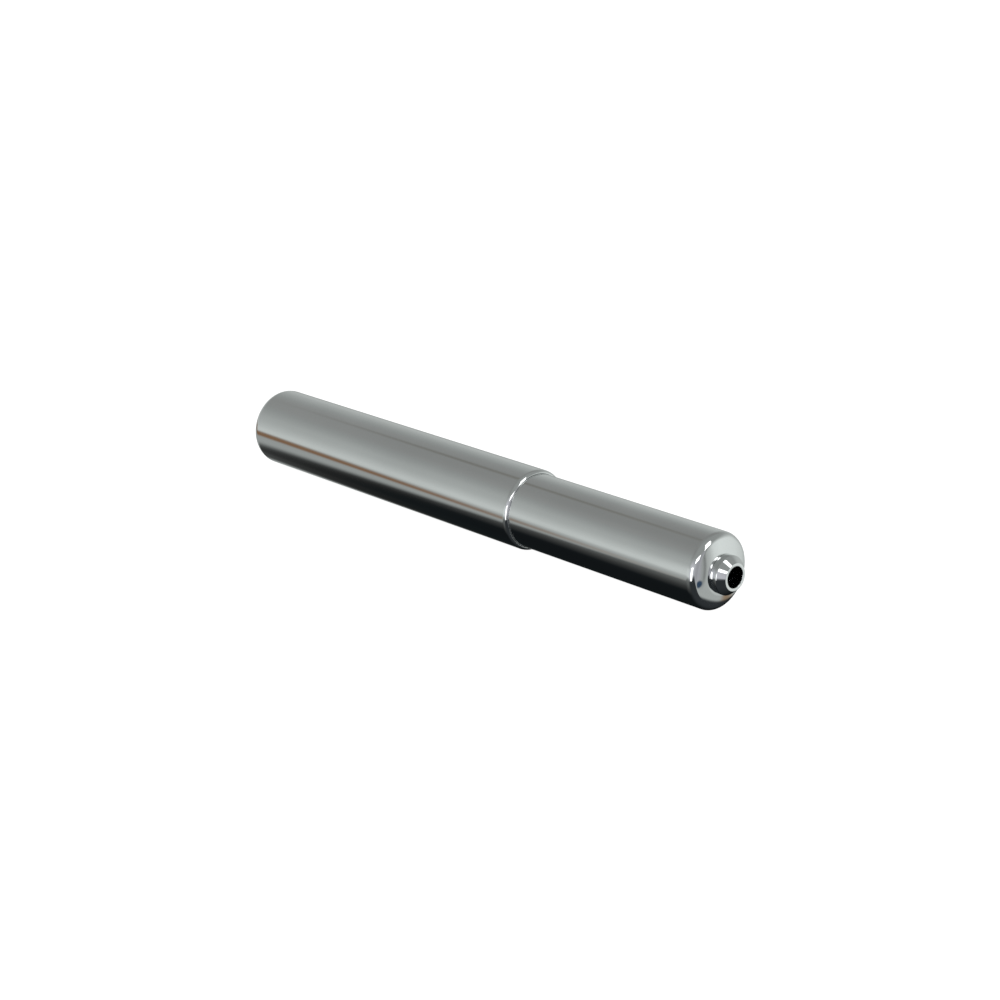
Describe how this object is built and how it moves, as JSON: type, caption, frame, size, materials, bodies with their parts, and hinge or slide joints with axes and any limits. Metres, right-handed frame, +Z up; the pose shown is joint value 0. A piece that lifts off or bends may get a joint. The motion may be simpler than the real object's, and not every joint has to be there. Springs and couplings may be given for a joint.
{
  "type": "spring-loaded tissue roller",
  "caption": "Chrome telescopic roller: a thin inner sleeve slides and turns in an outer one against a long spring, with a hollow bevelled trunnion on each end.",
  "frame": {"origin": "on the roller's axis, halfway between the tips of its two trunnions when it is fully extended", "axes": "+X along the roller's axis, from the outer sleeve's closed end to the inner sleeve's; +Z up when the roller lies level in its holder"},
  "size_m": [0.1608, 0.019, 0.019],
  "materials": {
    "chrome": "polished",
    "zinc_plated_steel": "satin",
    "spring_steel": "drawn wire",
    "nylon": "moulded"
  },
  "bodies": {
    "outer": {"outer_sleeve": "chrome", "outer_trunnion": "chrome", "outer_spring_cup": "zinc_plated_steel", "compression_spring": "spring_steel"},
    "follower": {"thrust_washer": "nylon"},
    "inner": {"inner_sleeve": "chrome", "inner_trunnion": "chrome", "inner_spring_cup": "zinc_plated_steel", "guide_bush": "nylon"}
  },
  "joints": [
    {"name": "sleeve_slide", "type": "slide", "parent": "outer", "child": "follower", "axis": [1, 0, 0], "range_m": [-0.054, 0], "stiffness_N_per_m": 165, "springref_m": 0.025, "deforming": ["compression_spring"]},
    {"name": "sleeve_turn", "type": "hinge", "parent": "follower", "child": "inner", "pos_m": [0, 0, 0], "axis": [1, 0, 0], "continuous": true}
  ]
}
